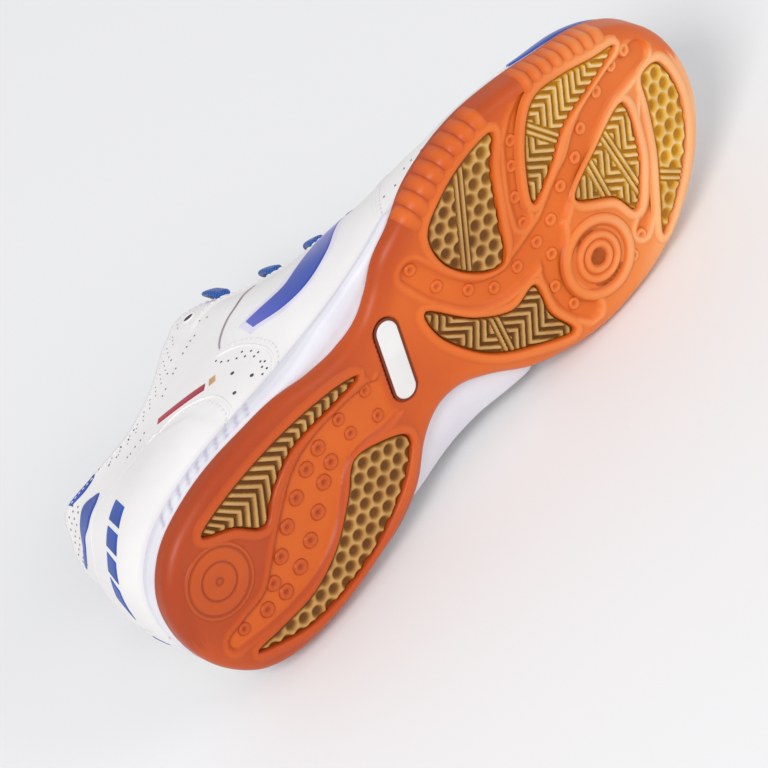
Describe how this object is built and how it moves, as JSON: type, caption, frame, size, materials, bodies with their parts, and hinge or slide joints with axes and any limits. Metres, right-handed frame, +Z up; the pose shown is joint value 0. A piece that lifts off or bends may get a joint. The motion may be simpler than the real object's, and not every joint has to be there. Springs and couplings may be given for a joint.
{
  "type": "indoor soccer shoe",
  "caption": "Low-cut indoor soccer shoe for the right foot, lying empty on its inner side: hollow upper, laced throat, foam midsole and flat gum outsole with inset tread pads.",
  "frame": {"origin": "on the floor, below the middle of the lying shoe's bounding box", "axes": "+X from heel to toe, +Y from the sole towards the collar, +Z up from the floor through the outer side"},
  "size_m": [0.2914, 0.1168, 0.1074],
  "materials": {
    "outsole": "satin gum rubber, orange",
    "tread_pads": "matt gum rubber, tan",
    "waist_inlay": "white, glossy",
    "midsole": "white foam with a satin skin",
    "upper": "white coated synthetic leather",
    "lining": "pale knitted lining",
    "tongue": "padded, pale",
    "insole": "blue textile over foam",
    "laces": "flat woven, blue"
  },
  "bodies": {
    "root": {"outsole": "outsole", "waist_inlay": "waist_inlay", "midsole": "midsole", "upper": "upper", "collar_lining": "lining", "tongue": "tongue", "insole": "insole", "tread_pad_heel_outer": "tread_pads", "tread_pad_heel_inner": "tread_pads", "tread_pad_ball_outer": "tread_pads", "tread_pad_ball_rear": "tread_pads", "tread_pad_toe_outer": "tread_pads", "tread_pad_toe_centre": "tread_pads", "tread_pad_toe_inner": "tread_pads", "lace_front_bar": "laces", "lace_crossing_1": "laces", "lace_crossing_2": "laces", "lace_crossing_3": "laces", "lace_crossing_4": "laces"}
  },
  "joints": []
}
